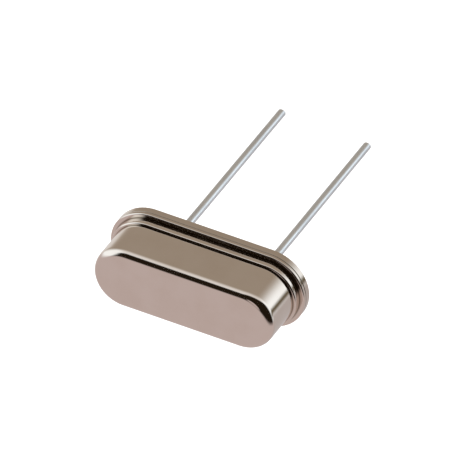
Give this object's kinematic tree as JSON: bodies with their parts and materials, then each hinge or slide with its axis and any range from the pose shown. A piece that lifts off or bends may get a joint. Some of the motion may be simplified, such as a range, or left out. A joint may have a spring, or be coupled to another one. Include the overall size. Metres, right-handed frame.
{
  "type": "quartz crystal resonator",
  "caption": "Low-profile quartz crystal sealed in an oval metal can with a weld flange and straight wire leads for a circuit board.",
  "frame": {"origin": "on the seating plane under the weld flange, midway between the two leads", "axes": "+Z away from the board through the top of the can, the leads run down -Z; X along the long axis of the can, Y across it"},
  "size_m": [0.0106, 0.0042, 0.0164],
  "materials": {
    "nickel_plate": "bright nickel plate on drawn sheet, satin, warm grey",
    "seal_glass": "dark grey-green fused glass",
    "tinned_wire": "bright tin-plated wire",
    "spring_metal": "thin rolled nickel-silver strip",
    "quartz": "clear, finely lapped quartz",
    "silver_film": "thin silver film",
    "conductive_adhesive": "matte silver-filled epoxy"
  },
  "bodies": {
    "root": {"cap": "nickel_plate", "base": "nickel_plate", "glass_seal_left": "seal_glass", "glass_seal_right": "seal_glass", "lead_left": "tinned_wire", "lead_right": "tinned_wire", "clip_left": "spring_metal", "clip_right": "spring_metal", "quartz_blank": "quartz", "electrode_upper": "silver_film", "electrode_lower": "silver_film", "adhesive_left": "conductive_adhesive", "adhesive_right": "conductive_adhesive"}
  },
  "joints": []
}
